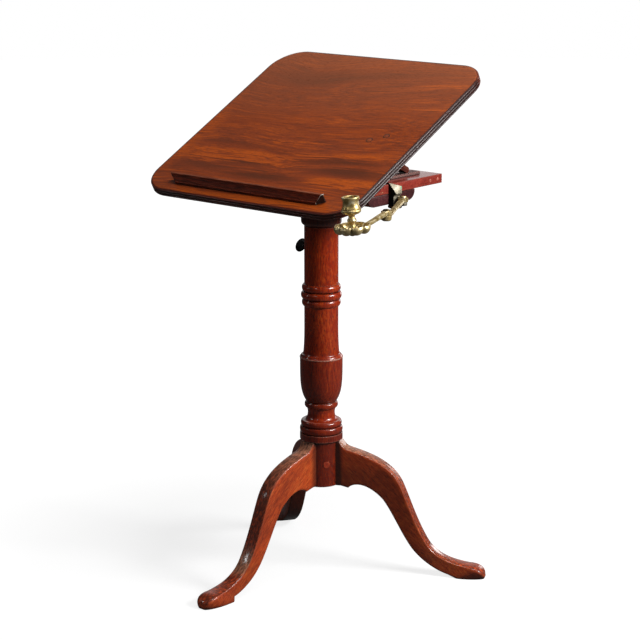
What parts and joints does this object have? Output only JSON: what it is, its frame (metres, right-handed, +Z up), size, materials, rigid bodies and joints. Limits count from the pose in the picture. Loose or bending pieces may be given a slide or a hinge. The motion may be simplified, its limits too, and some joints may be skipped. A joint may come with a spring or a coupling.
{
  "type": "reading stand",
  "caption": "Wooden tripod reading stand: turned column with a rising pole, tilting reeded board on a folding horse, book ledge and jointed brass candle arm.",
  "frame": {"origin": "middle of the bounding box, on the floor that the three feet stand on", "axes": "+Z up along the column, +X along the board's front edge to the reader's right, +Y away from the reader"},
  "size_m": [0.5574, 0.4876, 0.9215],
  "materials": {
    "board_wood": "polished figured mahogany",
    "red_wood": "polished red mahogany",
    "dark_wood": "darkened mahogany",
    "brass": "aged cast brass",
    "iron": "blackened iron"
  },
  "bodies": {
    "base": {"column": "red_wood", "hub_peg": "red_wood", "screw_bush": "brass", "spider_plate": "iron", "leg_front": "red_wood", "leg_left": "red_wood", "leg_right": "red_wood", "spider_screw_1": "iron", "spider_screw_2": "iron", "spider_screw_3": "iron"},
    "pole": {"pole": "dark_wood"},
    "head": {"collar": "dark_wood", "bearer": "dark_wood", "platform": "red_wood", "hinge_rail": "dark_wood", "bracket_foot": "brass", "bracket_screw": "brass", "candle_bracket": "brass", "arm_root_pin": "brass", "bearer_screw_1": "iron", "bearer_screw_2": "iron", "bearer_screw_3": "iron", "bearer_screw_4": "iron", "platform_plug_1": "board_wood", "platform_plug_2": "board_wood", "ratchet_left": "dark_wood", "ratchet_right": "dark_wood", "hinge_left_fixed_leaf": "brass", "hinge_left_pin": "brass", "hinge_right_fixed_leaf": "brass", "hinge_right_pin": "brass"},
    "board": {"board": "board_wood", "board_plug_1": "dark_wood", "board_plug_2": "dark_wood", "horse_lug_left": "dark_wood", "horse_lug_right": "dark_wood", "horse_pin_left": "iron", "horse_pin_right": "iron", "hinge_left_moving_leaf": "brass", "hinge_right_moving_leaf": "brass"},
    "horse": {"horse_rail_lower": "red_wood", "horse_rail_upper": "red_wood", "horse_stile_left": "red_wood", "horse_stile_right": "red_wood"},
    "ledge": {"ledge": "dark_wood", "ledge_peg_left": "dark_wood", "ledge_peg_right": "dark_wood"},
    "arm_root": {"arm_link_root": "brass", "arm_elbow_pin": "brass"},
    "arm_outer": {"arm_link_outer": "brass", "drip_pan": "brass", "candle_socket": "brass", "pan_rivet": "brass"},
    "clamp_shoe": {"clamp_shoe": "dark_wood"},
    "thumbscrew": {"thumbscrew": "iron"}
  },
  "joints": [
    {"name": "pole_slide", "type": "slide", "parent": "base", "child": "pole", "axis": [0, 0, 1], "range_m": [0, 0.2]},
    {"name": "head_swivel", "type": "hinge", "parent": "pole", "child": "head", "pos_m": [-0.01625, 0.06023, 0.64], "axis": [0, 0, 1], "continuous": true},
    {"name": "board_tilt", "type": "hinge", "parent": "head", "child": "board", "pos_m": [-0.01625, -0.05817, 0.7428], "axis": [1, 0, 0], "range_deg": [-27.75, 32.25]},
    {"name": "horse_fold", "type": "hinge", "parent": "board", "child": "horse", "pos_m": [-0.01625, 0.03918, 0.79402], "axis": [1, 0, 0], "range_deg": [-64.5, 55.5]},
    {"name": "ledge_lift", "type": "slide", "parent": "board", "child": "ledge", "axis": [0, -0.4656, 0.885], "range_m": [0, 0.02]},
    {"name": "arm_root_swing", "type": "hinge", "parent": "head", "child": "arm_root", "pos_m": [0.16125, 0.06823, 0.7008], "axis": [0, 0, 1], "range_deg": [-6, 120]},
    {"name": "arm_elbow_swing", "type": "hinge", "parent": "arm_root", "child": "arm_outer", "pos_m": [0.22041, -0.05201, 0.7014], "axis": [0, 0, -1], "range_deg": [-100, 6]},
    {"name": "shoe_slide", "type": "slide", "parent": "base", "child": "clamp_shoe", "axis": [-1, 0, 0], "range_m": [0, 0.0015]},
    {"name": "thumbscrew_turn", "type": "hinge", "parent": "clamp_shoe", "child": "thumbscrew", "pos_m": [-0.04625, 0.06023, 0.5969], "axis": [-1, 0, 0], "range_deg": [0, 360.5]}
  ],
  "couplings": [
    {"joint": "horse_fold", "follows": "board_tilt", "ratio": -2},
    {"joint": "thumbscrew_turn", "follows": "shoe_slide", "rad_per_m": 4188.8}
  ]
}
